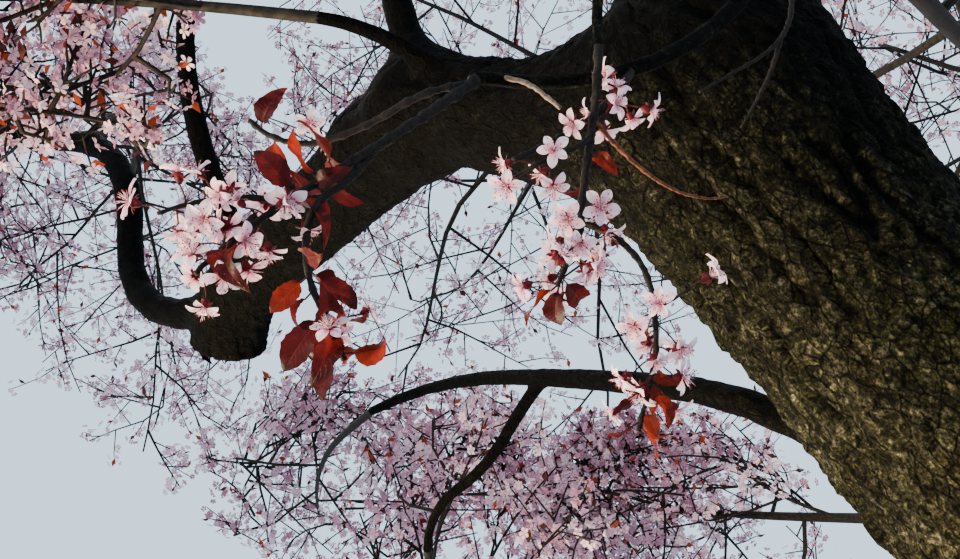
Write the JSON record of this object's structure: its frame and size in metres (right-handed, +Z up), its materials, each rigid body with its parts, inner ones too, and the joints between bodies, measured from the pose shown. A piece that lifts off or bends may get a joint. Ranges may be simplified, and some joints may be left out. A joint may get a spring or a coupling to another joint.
{
  "type": "cherry blossom tree",
  "caption": "Leaning mature tree in pale pink blossom, with a flared foot, a forked trunk, tapering boughs, an arched bough with a sawn end and masses of flowering twigs.",
  "frame": {"origin": "the middle of the flat cut under the trunk, at ground level", "axes": "+Z is up, square to the cut, +X is to the right and +Y runs away from the viewer of the picture"},
  "size_m": [7.5772, 6.8325, 6.3987],
  "materials": {
    "bark": "rough, furrowed, matte",
    "blossom": "soft, matte",
    "leaf": "satin"
  },
  "bodies": {
    "root": {"trunk": "bark", "leader": "bark", "arched_bough_inner": "bark", "arched_bough_sawn_end": "bark", "left_bough": "bark", "back_left_bough": "bark", "left_upright": "bark", "bend_upright": "bark", "near_left_shoot": "bark", "lower_bough": "bark", "right_back_bough": "bark", "back_bough": "bark", "near_bough": "bark", "near_shoot": "bark", "right_front_bough": "bark", "left_front_bough": "bark", "front_bough": "bark", "right_top_bough": "bark", "right_bough": "bark", "low_branch": "bark", "low_back_bough": "bark", "crown_top": "blossom", "crown_back": "blossom", "crown_back_low": "blossom", "crown_back_left": "blossom", "crown_left_back": "blossom", "crown_left_top": "blossom", "crown_back_top": "blossom", "crown_near_left": "blossom", "crown_right_back": "blossom", "crown_right": "blossom", "crown_right_front": "blossom", "crown_right_top": "blossom", "crown_front": "blossom", "crown_left_front": "blossom", "crown_low_middle": "blossom", "crown_low_right": "blossom", "near_spray_left": "blossom", "near_spray_middle": "blossom"}
  },
  "joints": []
}
